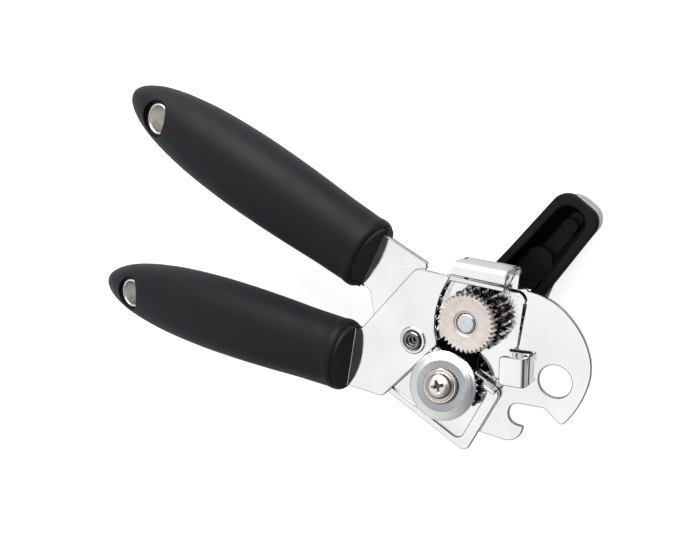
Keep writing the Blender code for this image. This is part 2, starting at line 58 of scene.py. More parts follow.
MM = 0.001
NODES = frame["nodes"]
JOINTS = {joint["name"]: joint for joint in frame["joints"]}

# ---------------------------------------------------------------- the shape's own sizes

ARM_ANGLE = math.radians(-21.6)
KNOB_ANGLE = math.radians(57.9)
CUTTER_TILT = math.radians(16.0)
SHEET = 1.5
FRONT_LEVEL = 0.0
ARM_LEVEL = -1.8
HEAD_LEVEL = -3.7
FLOOR_LEVEL = -4.7

GRIP_FLATNESS = 0.89
# Places along a grip, as shares of its length from the tip, and its half width there.
GRIP_STATIONS = (
    (0.0, 0.0), (0.009, 3.1), (0.03, 5.4), (0.06, 7.4), (0.106, 9.6), (0.167, 11.5), (0.242, 13.0),
    (0.348, 14.3), (0.5, 14.9), (0.636, 14.6), (0.758, 13.9), (0.864, 13.05), (0.925, 12.75),
    (0.955, 12.6), (0.968, 12.58), (0.978, 12.75), (0.988, 12.7), (0.9955, 12.35), (1.0, 11.75),
)
SOCKET_RADIUS = 9.2
PLUG_CORE = 8.6
PLUG_REACH = 1.6
PLUG_HALF = 11.3
PLUG_SLANT = {"lower": 0.08, "upper": 0.0}
EYELET_FROM_TIP = 24.0
EYELET_RADIUS = 5.7
EYELET_MOUTH = 7.3
EYELET_HALF_HEIGHT = 7.8
TANG_WIDTH = 8.0
PLUG_SLOT_HALF = SHEET / 2.0 + 0.15

KNOB_FACE = -26.0
KNOB_HALF = 45.7
KNOB_RIM = -15.0
KNOB_SEAM = -17.0
KNOB_HUB_FRONT = -7.7
SPINDLE_RADIUS = 3.1
DRIVE_BORE = SPINDLE_RADIUS + 0.2
FEED_FRONT = 5.1
FEED_BACK = 2.1
FEED_TEETH = 36
GEAR_TEETH = 20
DRIVE_GEAR_TIP = 10.1
CUTTER_GEAR_TIP = 10.6
DRIVE_GEAR_BACK = -4.4
DRIVE_GEAR_FRONT = 0.1
CUTTER_GEAR_BACK = -3.3
CUTTER_GEAR_FRONT = -0.8
CUTTER_RADIUS = 10.9
BLADE_FLAT = 8.1
BLADE_BACK = -0.5
CUTTER_BORE = 3.4
CROSS_LONG = 2.3
CROSS_THIN = 0.5
CHANNEL_FOOT = 26.6


def spot_of(joint):
    return Vector(JOINTS[joint]["pos_m"])


def rotation(angle, axis="Z"):
    return Matrix.Rotation(angle, 4, axis)


LOWER = Matrix.Translation(spot_of("handle_pivot"))
UPPER = LOWER @ rotation(ARM_ANGLE)
DRIVE = Matrix.Translation((0.0, 0.0, LOWER.translation.z)) @ rotation(KNOB_ANGLE)
CUTTER = Matrix.Translation(spot_of("cutter_spin")) @ rotation(ARM_ANGLE) @ rotation(-CUTTER_TILT, "X")


class Grip:
    """Where a grip lies in the frame of its arm: from the open end back to the tip."""

    def __init__(self, end, axis, height, length, sway, lean, plate, tang_axis):
        self.end = end
        self.length = length
        self.axis = axis
        self.sway = sway
        self.height = height
        self.lean = lean
        self.plate = plate
        self.tang_axis = tang_axis

    def middle(self, x):
        share = (self.end - x) / self.length
        return self.axis + self.sway * share, self.height + self.lean * share

    def eyelet_spot(self):
        x = self.end - self.length + EYELET_FROM_TIP
        return (x, *self.middle(x))


GRIPS = {
    "lower": (Grip(end=-24.8, axis=-12.0, height=-0.6, length=133.0, sway=0.9, lean=-4.1,
                   plate=FRONT_LEVEL - SHEET / 2.0, tang_axis=-12.5), LOWER, "lower_arm"),
    "upper": (Grip(end=-27.8, axis=14.9, height=-3.1, length=129.2, sway=-0.8, lean=-0.4,
                   plate=ARM_LEVEL - SHEET / 2.0, tang_axis=14.2), UPPER, "upper_arm"),
}

# ---------------------------------------------------------------- mesh tools


def to_object(name, shape, place, bend=35.0):
    """A bmesh in millimetres becomes an object at its place, smooth except over sharp edges."""
    bmesh.ops.recalc_face_normals(shape, faces=shape.faces)
    bmesh.ops.scale(shape, vec=(MM, MM, MM), verts=shape.verts)
    mesh = bpy.data.meshes.new(name)
    shape.to_mesh(mesh)
    shape.free()
    for face in mesh.polygons:
        face.use_smooth = True
    mesh.set_sharp_from_angle(angle=math.radians(bend))
    made = bpy.data.objects.new(name, mesh)
    bpy.context.scene.collection.objects.link(made)
    made.matrix_world = place
    return made


def boolean(target, shape, operation, place=None):
    """Cuts a helper shape from the target, or joins it, and leaves only the result."""
    helper = to_object(target.name + "_helper", shape, place or target.matrix_world)
    bpy.context.view_layer.update()
    step = target.modifiers.new("step", "BOOLEAN")
    step.object = helper
    step.operation = operation
    step.solver = "EXACT"
    apply_modifiers(target)
    bpy.data.objects.remove(helper, do_unlink=True)


def apply_modifiers(target):
    bpy.context.view_layer.update()
    graph = bpy.context.evaluated_depsgraph_get()
    solid = bpy.data.meshes.new_from_object(target.evaluated_get(graph), depsgraph=graph)
    target.modifiers.clear()
    old = target.data
    target.data = solid
    bpy.data.meshes.remove(old)


def soften(target, width, segments=2, limit=32.0):
    """Rounds the sharp edges of a piece, so that they catch the light."""
    bevel = target.modifiers.new("edge", "BEVEL")
    bevel.width = width * MM
    bevel.segments = segments
    bevel.limit_method = "ANGLE"
    bevel.angle_limit = math.radians(limit)
    even = target.modifiers.new("even", "WEIGHTED_NORMAL")
    even.weight = 60


def soften_node(target, width):
    """Rounds the sharp edges of a CAD node, whose flat faces come in triangles."""
    weld = target.modifiers.new("weld", "WELD")
    weld.merge_threshold = 1e-6
    flat = target.modifiers.new("flat", "DECIMATE")
    flat.decimate_type = "DISSOLVE"
    flat.angle_limit = math.radians(0.6)
    bevel = target.modifiers.new("edge", "BEVEL")
    bevel.width = width * MM
    bevel.segments = 2
    bevel.limit_method = "ANGLE"
    bevel.angle_limit = math.radians(35.0)
    bevel.miter_outer = "MITER_ARC"
    even = target.modifiers.new("even", "WEIGHTED_NORMAL")
    even.weight = 60


def loft(loops, closed=False):
    """Skins loops of equal length, and caps the ends unless the skin closes on itself."""
    shape = bmesh.new()
    rings = [[shape.verts.new(point) for point in loop] for loop in loops]
    pairs = list(zip(rings, rings[1:]))
    if closed:
        pairs.append((rings[-1], rings[0]))
    for first, second in pairs:
        for i in range(len(first)):
            j = (i + 1) % len(first)
            shape.faces.new((first[i], first[j], second[j], second[i]))
    if not closed:
        shape.faces.new(rings[0])
        shape.faces.new(rings[-1])
    return shape


def level(loop, z):
    return [(x, y, z) for x, y in loop]


def circle(radius, count, x=0.0, y=0.0):
    steps = [2.0 * math.pi * i / count for i in range(count)]
    return [(x + radius * math.cos(a), y + radius * math.sin(a)) for a in steps]


def stacked(rows, closed=False):
    """Skins outlines at their heights: each row is (outline, z)."""
    return loft([level(loop, z) for loop, z in rows], closed)


def prism(loop, low, high):
    return stacked([(loop, low), (loop, high)])


def disc(radius, low, high, x=0.0, y=0.0, count=64):
    return prism(circle(radius, count, x, y), low, high)


def corners_of(low_x, high_x, low_y, high_y):
    return [(low_x, low_y), (high_x, low_y), (high_x, high_y), (low_x, high_y)]


def rectangle(half_x, half_y):
    return corners_of(-half_x, half_x, -half_y, half_y)


def box(low_x, high_x, low_y, high_y, low_z, high_z):
    return prism(corners_of(low_x, high_x, low_y, high_y), low_z, high_z)


def rounded(corners, steps=5, closed=True):
    """An outline whose corners (x, y, radius) are replaced by arcs."""
    outline = []
    for i, (x, y, radius) in enumerate(corners):
        end = not closed and i in (0, len(corners) - 1)
        if radius <= 0.0 or end:
            outline.append((x, y))
            continue
        here = Vector((x, y))
        before = (Vector(corners[i - 1][:2]) - here).normalized()
        after = (Vector(corners[(i + 1) % len(corners)][:2]) - here).normalized()
        half = before.angle(after) / 2.0
        centre = here + (before + after).normalized() * radius / math.sin(half)
        first = here + before * radius / math.tan(half) - centre
        last = here + after * radius / math.tan(half) - centre
        sweep = first.angle_signed(last)
        for k in range(steps + 1):
            arm = first.copy()
            arm.rotate(Matrix.Rotation(-sweep * k / steps, 2))
            outline.append(tuple(centre + arm))
    return outline


def turned(profile, count=96, closed=False):
    """A body turned about z from an outline of (radius, z, corner radius)."""
    line = rounded(profile, 4, closed)
    return loft([level(circle(max(radius, 0.02), count), z) for radius, z in line], closed)


def toothed(count, root, tip, root_share, tip_share, phase=0.0):
    """One gear outline with a short flat between the teeth and rounded tips: six points a tooth."""
    pitch = 2.0 * math.pi / count
    near = tip - 0.12 * (tip - root)
    rows = ((root, -root_share), (near, -tip_share * 1.5), (tip, -tip_share * 0.8),
            (tip, tip_share * 0.8), (near, tip_share * 1.5), (root, root_share))
    outline = []
    for i in range(count):
        for radius, offset in rows:
            angle = i * pitch + phase + offset * pitch / 2.0
            outline.append((radius * math.cos(angle), radius * math.sin(angle)))
    return outline


def beneath(loop, radius):
    """The outline's points moved along their radii to a circle."""
    return [(radius * x / math.hypot(x, y), radius * y / math.hypot(x, y)) for x, y in loop]


def shrunk(loop, step):
    """The outline pulled towards its axis by a step."""
    found = []
    for x, y in loop:
        radius = math.hypot(x, y)
        share = (radius - step) / radius
        found.append((x * share, y * share))
    return found


# ---------------------------------------------------------------- materials


def put(tree, kind, settings=None, **sockets):
    """Adds a node, with settings by attribute and sockets by name or number."""
    made = tree.nodes.new(kind)
    for name, value in (settings or {}).items():
        setattr(made, name, value)
    for name, value in sockets.items():
        key = int(name[1:]) if name[0] == "_" else name.replace("__", " ")
        socket = made.inputs[key]
        if isinstance(value, bpy.types.NodeSocket):
            tree.links.new(value, socket)
        else:
            socket.default_value = value
    return made


def noise(tree, where, scale, detail=3.0, stretch=(1.0, 1.0, 1.0), roughness=0.5):
    spread = put(tree, "ShaderNodeMapping", {"vector_type": "POINT"}, Vector=where, Scale=stretch)
    made = put(tree, "ShaderNodeTexNoise", None, Vector=spread.outputs[0], Scale=scale, Detail=detail,
               Roughness=roughness)
    return made.outputs[0]


def span(tree, value, low, high, from_low=0.3, from_high=0.7):
    made = put(tree, "ShaderNodeMapRange", None, Value=value)
    for key, number in (("From Min", from_low), ("From Max", from_high), ("To Min", low), ("To Max", high)):
        made.inputs[key].default_value = number
    return made.outputs[0]


def blend_colour(tree, share, first, second):
    made = put(tree, "ShaderNodeMix", {"data_type": "RGBA"}, _0=share)
    for key, colour in ((6, first), (7, second)):
        if isinstance(colour, bpy.types.NodeSocket):
            tree.links.new(colour, made.inputs[key])
        else:
            made.inputs[key].default_value = (*colour, 1.0)
    return made.outputs[2]


def math_node(tree, operation, first, second=0.0):
    return put(tree, "ShaderNodeMath", {"operation": operation}, _0=first, _1=second).outputs[0]


def parts_of(tree, vector):
    return put(tree, "ShaderNodeSeparateXYZ", None, Vector=vector).outputs


def axis_distance(tree, where):
    """Distance from the piece's own axis, for marks that run round it."""
    parts = parts_of(tree, where)
    squares = [math_node(tree, "MULTIPLY", parts[i], parts[i]) for i in range(2)]
    return math_node(tree, "POWER", math_node(tree, "ADD", *squares), 0.5)


def ring_noise(tree, radius, scale, detail):
    """Noise that changes only with the distance from the axis, as the marks of a lathe do."""
    settings = {"noise_dimensions": "1D"}
    return put(tree, "ShaderNodeTexNoise", settings, W=radius, Scale=scale, Detail=detail).outputs[0]


def dimmed(colour, share):
    """The colour times a share, never above white."""
    return tuple(min(1.0, c * share) for c in colour)


def bump(tree, height, strength, distance, normal=None):
    made = put(tree, "ShaderNodeBump", None, Height=height, Strength=strength, Distance=distance)
    if normal is not None:
        tree.links.new(normal, made.inputs["Normal"])
    return made.outputs[0]


def new_material(name, metallic, specular=0.5):
    made = bpy.data.materials.new(name)
    made.use_nodes = True
    tree = made.node_tree
    tree.nodes.clear()
    shader = tree.nodes.new("ShaderNodeBsdfPrincipled")
    output = tree.nodes.new("ShaderNodeOutputMaterial")
    tree.links.new(shader.outputs[0], output.inputs[0])
    shader.inputs["Metallic"].default_value = metallic
    shader.inputs["Specular IOR Level"].default_value = specular
    where = tree.nodes.new("ShaderNodeTexCoord").outputs["Object"]
    return made, tree, shader, where


def plate_steel(name, grain_axis, gloss, channel=None, tint=(0.875, 0.875, 0.89)):
    """Bright polished plate: faint rolling marks, soft waves in the reflections, light rubbed spots.

    Past the channel's foot, if it has one, the plate is brushed and duller.
    """
    made, tree, shader, where = new_material(name, 1.0)
    along = (0.06, 1.0, 1.0) if grain_axis == "x" else (1.0, 0.06, 1.0)
    wide = noise(tree, where, 55.0, 2.0)
    cloud = noise(tree, where, 260.0, 4.0)
    lines = noise(tree, where, 5200.0, 3.0, along)
    scuffs = noise(tree, where, 900.0, 5.0, (0.25, 1.0, 1.0), 0.65)
    colour = blend_colour(tree, span(tree, wide, 0.0, 1.0, 0.35, 0.65), dimmed(tint, 0.90), tint)
    colour = blend_colour(tree, span(tree, scuffs, 0.0, 0.35, 0.62, 0.78), colour, dimmed(tint, 0.72))
    tree.links.new(colour, shader.inputs["Base Color"])
    rough = math_node(tree, "ADD", span(tree, cloud, *gloss), span(tree, scuffs, 0.0, 0.10, 0.6, 0.8))
    if channel:
        across = parts_of(tree, where)[1]
        brushed = span(tree, across, 0.0, 0.34, channel * MM, (channel + 1.6) * MM)
        rough = math_node(tree, "ADD", rough, brushed)
    tree.links.new(rough, shader.inputs["Roughness"])
    soft = bump(tree, wide, 0.25, 0.0006)
    fine = bump(tree, lines, 0.10, 0.00003, soft)
    tree.links.new(bump(tree, cloud, 0.10, 0.00008, fine), shader.inputs["Normal"])
    return made


def small_steel(name, tint, rough=(0.18, 0.30), pits=0.15, scale=900.0):
    """Plated small part: uneven gloss, small pits and rubbed marks."""
    made, tree, shader, where = new_material(name, 1.0)
    cloud = noise(tree, where, scale * 0.4, 4.0)
    fine = noise(tree, where, scale * 4.0, 4.0, roughness=0.6)
    pit = put(tree, "ShaderNodeTexVoronoi", None, Vector=where, Scale=scale).outputs["Distance"]
    colour = blend_colour(tree, span(tree, cloud, 0.0, 1.0), dimmed(tint, 0.82), tint)
    colour = blend_colour(tree, span(tree, fine, 0.0, 0.4, 0.55, 0.8), colour, dimmed(tint, 0.6))
    tree.links.new(colour, shader.inputs["Base Color"])
    tree.links.new(span(tree, fine, *rough), shader.inputs["Roughness"])
    low = bump(tree, pit, pits, 0.0001)
    tree.links.new(bump(tree, fine, 0.12, 0.00004, low), shader.inputs["Normal"])
    return made


def turned_steel(name, inner, outer, edge, rough):
    """A disc finished on a lathe: fine rings, a colour that changes at the edge of its flat middle, and
    painted shade in two opposite sectors going round it, standing in for the light and dark of brushed
    steel.
    """
    made, tree, shader, where = new_material(name, 1.0)
    radius = axis_distance(tree, where)
    rings = ring_noise(tree, radius, 9000.0, 4.0)
    bands = ring_noise(tree, radius, 1300.0, 2.0)
    cloud = noise(tree, where, 320.0, 4.0)
    parts = parts_of(tree, where)
    # Painted shade: a sine of twice the angle darkens two opposite sectors, as the light and dark that
    # sweep round brushed steel.
    twice = math_node(tree, "MULTIPLY", math_node(tree, "ARCTAN2", parts[1], parts[0]), 2.0)
    sweep = math_node(tree, "SINE", math_node(tree, "ADD", twice, 0.6))
    share = span(tree, radius, 0.0, 1.0, (edge - 0.12) * MM, (edge + 0.12) * MM)
    colour = blend_colour(tree, share, inner, outer)
    colour = blend_colour(tree, span(tree, rings, 0.0, 0.35, 0.4, 0.7), colour, dimmed(inner, 0.7))
    colour = blend_colour(tree, span(tree, cloud, 0.0, 0.15, 0.4, 0.7), colour, dimmed(outer, 0.8))
    colour = blend_colour(tree, span(tree, sweep, 0.0, 0.28, -1.0, 1.0), colour, dimmed(outer, 0.55))
    tree.links.new(colour, shader.inputs["Base Color"])
    uneven = math_node(tree, "ADD", span(tree, bands, *rough), span(tree, cloud, 0.0, 0.06))
    tree.links.new(uneven, shader.inputs["Roughness"])
    shader.inputs["Anisotropic"].default_value = 0.65
    around = put(tree, "ShaderNodeTangent", {"direction_type": "RADIAL", "axis": "Z"})
    tree.links.new(around.outputs[0], shader.inputs["Tangent"])
    tree.links.new(bump(tree, rings, 0.07, 0.00004), shader.inputs["Normal"])
    return made


def gear_black(name, tip):
    """Dark hardened steel with an oily film, and painted glints: near-white colour painted along the tips
    of its teeth and in small patches, standing in for highlights.
    """
    made, tree, shader, where = new_material(name, 1.0)
    cloud = noise(tree, where, 620.0, 2.0)
    fine = noise(tree, where, 4200.0, 4.0)
    at_tips = span(tree, axis_distance(tree, where), 0.0, 1.0, (tip - 0.55) * MM, (tip - 0.3) * MM)
    # Painted highlight: the tips of the teeth, and small patches anywhere, are coloured near white as
    # glints.
    tip_glints = math_node(tree, "MULTIPLY", at_tips, span(tree, cloud, 0.35, 1.0, 0.42, 0.52))
    patches = math_node(tree, "MAXIMUM", tip_glints, span(tree, cloud, 0.0, 1.0, 0.58, 0.62))
    colour = blend_colour(tree, patches, (0.018, 0.018, 0.020), (0.86, 0.85, 0.84))
    tree.links.new(colour, shader.inputs["Base Color"])
    tree.links.new(span(tree, fine, 0.10, 0.22), shader.inputs["Roughness"])
    tree.links.new(bump(tree, fine, 0.08, 0.00003), shader.inputs["Normal"])
    return made


def moulded(name, tint, rough, stipple, scale=5200.0, sheen=0.0):
    """Moulded piece: a fine stipple, faint flow clouds, pale dust and rubbed, glossier patches."""
    made, tree, shader, where = new_material(name, 0.0, 0.15)
    cloud = noise(tree, where, 70.0, 3.0)
    fine = noise(tree, where, scale, 3.0, roughness=0.6)
    dust = noise(tree, where, 1800.0, 2.0)
    colour = blend_colour(tree, span(tree, cloud, 0.0, 1.0), dimmed(tint, 0.86), tint)
    colour = blend_colour(tree, span(tree, dust, 0.0, 0.3, 0.68, 0.8), colour, dimmed(tint, 2.4))
    tree.links.new(colour, shader.inputs["Base Color"])
    rub = span(tree, cloud, rough[0], rough[1])
    tree.links.new(math_node(tree, "ADD", rub, span(tree, fine, -0.03, 0.03)), shader.inputs["Roughness"])
    tree.links.new(bump(tree, fine, stipple, 0.00004), shader.inputs["Normal"])
    if sheen:
        shader.inputs["Sheen Weight"].default_value = sheen
        shader.inputs["Sheen Roughness"].default_value = 0.42
        shader.inputs["Sheen Tint"].default_value = (0.80, 0.86, 1.0, 1.0)
    return made


def brushed_silver(name):
    """Silver lacquer with long brush lines along the knob."""
    made, tree, shader, where = new_material(name, 1.0)
    lines = noise(tree, where, 4200.0, 4.0, (0.03, 1.0, 1.0), 0.7)
    cloud = noise(tree, where, 180.0, 3.0)
    colour = blend_colour(tree, span(tree, lines, 0.0, 1.0), (0.44, 0.44, 0.45), (0.60, 0.60, 0.61))
    colour = blend_colour(tree, span(tree, cloud, 0.0, 0.4), colour, (0.52, 0.52, 0.54))
    tree.links.new(colour, shader.inputs["Base Color"])
    tree.links.new(span(tree, lines, 0.30, 0.46), shader.inputs["Roughness"])
    tree.links.new(bump(tree, lines, 0.25, 0.00003), shader.inputs["Normal"])
    return made


def screw_nickel(name, tint, recess):
    """Warm plating on the screw, made dark brown below a set height: down in its cross and round the lower
    edge of its head.
    """
    made = small_steel(name, tint, (0.34, 0.48), 0.08, 1300.0)
    tree = made.node_tree
    shader = next(node for node in tree.nodes if node.type == "BSDF_PRINCIPLED")
    clean = shader.inputs["Base Color"].links[0].from_socket
    where = tree.nodes.new("ShaderNodeTexCoord").outputs["Object"]
    height = parts_of(tree, where)[2]
    # Darker brown below a set height, with noise in the amount.
    depth = span(tree, height, 1.0, 0.0, recess[0] * MM, recess[1] * MM)
    darkening_noise = noise(tree, where, 2600.0, 3.0)
    share = math_node(tree, "MULTIPLY", depth, span(tree, darkening_noise, 0.75, 1.0))
    tree.links.new(blend_colour(tree, share, clean, (0.055, 0.04, 0.03)), shader.inputs["Base Color"])
    return made


LOOKS = {
    "head": plate_steel("polished_head_steel", "x", (0.045, 0.10), CHANNEL_FOOT),
    "arm": plate_steel("polished_arm_steel", "y", (0.05, 0.11)),
    "small": small_steel("bright_plated_steel", (0.82, 0.82, 0.84)),
    # Painted shade: dark steel for the rounded plate edges, so that the outlines read as dark lines.
    "painted_edge_shade": small_steel("dark_edge_shade_steel", (0.20, 0.20, 0.21), (0.16, 0.28), 0.1),
    "rivet": small_steel("shadowed_rivet_steel", (0.24, 0.24, 0.25), (0.14, 0.26), 0.15),
    "warm": small_steel("warm_nickel", (0.74, 0.69, 0.65), (0.14, 0.28), 0.2, 1100.0),
    "screw": screw_nickel("screw_nickel", (0.88, 0.85, 0.82), (3.7, 4.2)),
    "feed": small_steel("satin_feed_wheel", (0.80, 0.735, 0.68), (0.36, 0.48), 0.05, 1500.0),
    "spindle": small_steel("struck_spindle_end", (0.66, 0.71, 0.76), (0.16, 0.34), 0.5, 1200.0),
    "blade": turned_steel("turned_blade_steel", (0.375, 0.40, 0.42), (0.78, 0.785, 0.79),
                          BLADE_FLAT, (0.16, 0.30)),
    "gear": gear_black("dark_gear_steel", DRIVE_GEAR_TIP),
    "gear_wide": gear_black("dark_cutter_gear_steel", CUTTER_GEAR_TIP),
    # Painted highlight: a pale, non-metal strip that shows as a bright line at the lower plug's slot.
    "highlight_line": moulded("painted_highlight_strip", (0.80, 0.80, 0.81), (0.30, 0.40), 0.05),
    "grip": moulded("soft_grip_black", (0.0055, 0.0055, 0.0074), (0.48, 0.56), 0.20, sheen=0.12),
    "plug": moulded("satin_plug_black", (0.015, 0.015, 0.017), (0.48, 0.56), 0.10, 7000.0),
    "knob": moulded("satin_knob_black", (0.0035, 0.0035, 0.004), (0.42, 0.50), 0.16, 6200.0),
    "cover": brushed_silver("brushed_silver_cover"),
    "lining": small_steel("eyelet_lining", (0.90, 0.865, 0.83), (0.22, 0.38), 0.1, 1000.0),
}

# ---------------------------------------------------------------- pieces


def finish(obj, look, body, node=None):
    """Gives a piece its material and body, and says which CAD node it stands for."""
    obj.data.materials.clear()
    obj.data.materials.append(LOOKS[look])
    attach(obj, body)
    if node:
        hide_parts(node)


def keep_node(name, look, width):
    """A CAD node that stays, with a better material and softened edges."""
    node = NODES[name]
    node.data.materials.clear()
    node.data.materials.append(LOOKS[look])
    for face in node.data.polygons:
        face.use_smooth = True
    soften_node(node, width)


def merge_flat(shape):
    """Merges doubled corners and joins the triangles of each flat face."""
    bmesh.ops.remove_doubles(shape, verts=shape.verts, dist=1e-6)
    bmesh.ops.dissolve_limit(shape, angle_limit=math.radians(0.5), verts=shape.verts, edges=shape.edges)


def pressed_plate(name, node_name, look, body, width_at, changes=()):
    """The plate of a CAD node with its pressed details, and rounded edges as wide as width_at says,
    coloured dark as painted shade and dark reflection along the outlines.
    """
    node = NODES[node_name]
    shape = bmesh.new()
    shape.from_mesh(node.data)
    bmesh.ops.transform(shape, matrix=LOWER.inverted() @ node.matrix_world, verts=shape.verts)
    merge_flat(shape)
    bmesh.ops.scale(shape, vec=(1000.0, 1000.0, 1000.0), verts=shape.verts)
    made = to_object(name, shape, LOWER)
    for operation, detail in changes:
        boolean(made, detail, operation)
    shape = bmesh.new()
    shape.from_mesh(made.data)
    merge_flat(shape)
    weight = shape.edges.layers.float.new("bevel_weight_edge")
    for edge in shape.edges:
        if len(edge.link_faces) == 2 and edge.calc_face_angle(0.0) > math.radians(25.0):
            middle = (edge.verts[0].co + edge.verts[1].co) * 500.0
            edge[weight] = width_at(middle, edge.is_convex)
    shape.to_mesh(made.data)
    shape.free()
    for face in made.data.polygons:
        face.use_smooth = True
    bevel = made.modifiers.new("edge", "BEVEL")
    bevel.width = MM
    bevel.segments = 4
    bevel.limit_method = "WEIGHT"
    bevel.use_clamp_overlap = False
    bevel.miter_outer = "MITER_ARC"
    even = made.modifiers.new("even", "WEIGHTED_NORMAL")
    even.weight = 60
    finish(made, look, body, node_name)
    # The rounded edges take the dark edge steel: painted shade and dark reflection along the outlines.
    made.data.materials.append(LOOKS["painted_edge_shade"])
    bevel.material = 1


def pocket_press():
    """Tool that presses the pocket's right side: an S-shaped ramp with a rounded top corner."""
    steps = 8
    loops = []
    for k in range(steps + 1):
        t = k / steps
        out = 1.7 * t
        rise = 0.35 * t + 0.65 * t * t * (3.0 - 2.0 * t)
        height = FLOOR_LEVEL + 0.01 + 1.04 * rise
        left, right, bottom, top = 20.0, 32.6 + out, -4.4, 21.4 + 0.9 * out
        corners = [(left, bottom, 0.0), (right, bottom, 0.0), (right, top, 2.0 + out), (left, top, 0.0)]
        loops.append([(x + 0.045 * (y - 5.0) * (x > 25.0), y, height) for x, y in rounded(corners, 8)])
    return loft(loops)


def tab_slot(inset=0.0):
    """Outline of the narrow, slanting relief slot above the folded tab."""
    left, right = 30.9 + inset, 38.3 - inset
    bottom, top = 3.3 + inset, 4.35 - inset
    slant, bend = 0.5, 0.35
    corners = [(left, bottom - slant, bend), (left, top - slant, bend), (right, top + slant, bend),
               (right, bottom + slant, bend)]
    return rounded(corners, 5)


def head_changes():
    """The rim behind the pocket's ear, the pocket's ramp, the slot above the tab and two relief holes."""
    rim = box(28.35, 34.0, 20.5, 23.3, FLOOR_LEVEL - 0.6, HEAD_LEVEL - 0.005)
    holes = [disc(0.75, -8.0, -1.0, x, 28.9, 24) for x in (14.2, 29.9)]
    cuts = [pocket_press(), prism(tab_slot(), -5.9, -3.0)] + holes
    return [("UNION", rim)] + [("DIFFERENCE", cut) for cut in cuts]


def slot_shade_fill():
    """Dark sheet in the slot above the tab: painted shade, standing in for the slot's shadow and dark
    reflection.
    """
    made = to_object("slot_shade_fill", prism(tab_slot(0.05), -5.8, -5.0), LOWER)
    finish(made, "plug", "lower_arm")


def head_edge_width(spot, convex):
    """Sheared outlines are rounded a little, hardly at the ears; the pressed pocket keeps its own ramp."""
    in_press = 30.0 < spot.x < 36.0 and -5.0 < spot.y < 24.0 and -4.8 < spot.z < -3.6
    at_right_ear = spot.y > 20.0 and 28.4 < spot.x < 37.5
    at_left_ear = spot.y > 27.0 and spot.x < 15.6
    if not convex:
        return 0.0
    if at_right_ear or at_left_ear:
        return 0.05
    return 0.0 if in_press else 0.28


def arm_edge_width(_spot, convex):
    return 0.26 if convex else 0.0


def grip_half(share):
    """Half width of a grip at a share of its length from the tip, on a smooth curve."""
    rows = GRIP_STATIONS
    i = max(k for k in range(len(rows) - 1) if rows[k][0] <= share + 1e-9)
    (x1, y1), (x2, y2) = rows[i], rows[i + 1]
    (x0, y0), (x3, y3) = rows[max(i - 1, 0)], rows[min(i + 2, len(rows) - 1)]
    if i == 0:
        return y2 * math.sqrt(share / x2)
    t = (share - x1) / (x2 - x1)
    first = (y2 - y0) / (x2 - x0) * (x2 - x1)
    second = (y3 - y1) / (x3 - x1) * (x2 - x1)
    return ((2 * t ** 3 - 3 * t ** 2 + 1) * y1 + (t ** 3 - 2 * t ** 2 + t) * first
            + (3 * t ** 2 - 2 * t ** 3) * y2 + (t ** 3 - t ** 2) * second)


def grip_ring(grip, x, radius, count=72):
    y, z = grip.middle(x)
    return [(x, y + a, z + b * GRIP_FLATNESS) for a, b in circle(radius, count)]


def grip_tube(grip, radius, back, front):
    """A plain length along the grip, from and to steps counted from its open end."""
    return loft([grip_ring(grip, grip.end + step, radius) for step in (back, front)])


def grip_shares():
    """Ring places: close together at the rounded tip and again near the open end."""
    shares = [0.0007 + 0.06 * (k / 12.0) ** 2 for k in range(13)]
    shares += [0.06 + 0.84 * (k + 1) / 40.0 for k in range(39)]
    shares += [0.90 + 0.10 * k / 22.0 for k in range(23)]
    return shares


def grip_skin(side):
    """Sleeve with a hole and two wider mouths for the eyelet, and a socket for the end plug."""
    grip, place, body = GRIPS[side]
    loops = [grip_ring(grip, grip.end - grip.length * (1.0 - share), grip_half(share))
             for share in grip_shares()]
    made = to_object(side + "_grip_skin", loft(loops), place)
    x, y, z = grip.eyelet_spot()
    rim = EYELET_HALF_HEIGHT - 0.4
    past = 20.0
    hole = (EYELET_RADIUS + 0.3, z - past, z + past)
    mouths = ((EYELET_MOUTH, z + rim, z + past), (EYELET_MOUTH, z - past, z - rim))
    for radius, low, high in (hole, *mouths):
        boolean(made, disc(radius, low, high, x, y, 72), "DIFFERENCE")
    boolean(made, grip_tube(grip, SOCKET_RADIUS, -7.0, 9.0), "DIFFERENCE")
    soften(made, 0.35, segments=3)
    finish(made, "grip", body, side + "_grip")


def plug_nose(grip, slant, steps=28):
    """Two slanted faces that run from the rim of the grip to a straight edge at the plate."""
    rows = []
    start = grip.end - 0.2
    y, axis_z = grip.middle(grip.end)
    for k in range(steps + 1):
        rise = 0.992 * math.sin(math.pi * (k / steps - 0.5))
        half = PLUG_HALF * math.sqrt(1.0 - rise * rise)
        front = grip.end + 0.2 + PLUG_REACH * (1.0 - abs(rise))
        lead = slant * half
        z = axis_z + rise * PLUG_HALF * GRIP_FLATNESS
        rows.append([(start, y - half, z), (front - lead, y - half, z), (front + lead, y + half, z),
                     (start, y + half, z)])
    return loft(rows)


def grip_plug(side):
    """Wedge-shaped plug in the open end, slotted for the plate."""
    grip, place, body = GRIPS[side]
    made = to_object(side + "_grip_end_plug", grip_tube(grip, PLUG_CORE, -6.7, 0.4), place)
    boolean(made, plug_nose(grip, PLUG_SLANT[side]), "UNION")
    low, high = grip.plate - PLUG_SLOT_HALF, grip.plate + PLUG_SLOT_HALF
    tang_room = TANG_WIDTH / 2.0 + 0.3
    slots = ((grip.end + 0.15, grip.axis, 15.0), (grip.end - 20.0, grip.tang_axis, tang_room))
    for start, axis, reach in slots:
        boolean(made, box(start, grip.end + 9.0, axis - reach, axis + reach, low, high), "DIFFERENCE")
    soften(made, 0.12)
    finish(made, "plug", body, side + "_grip_plug")


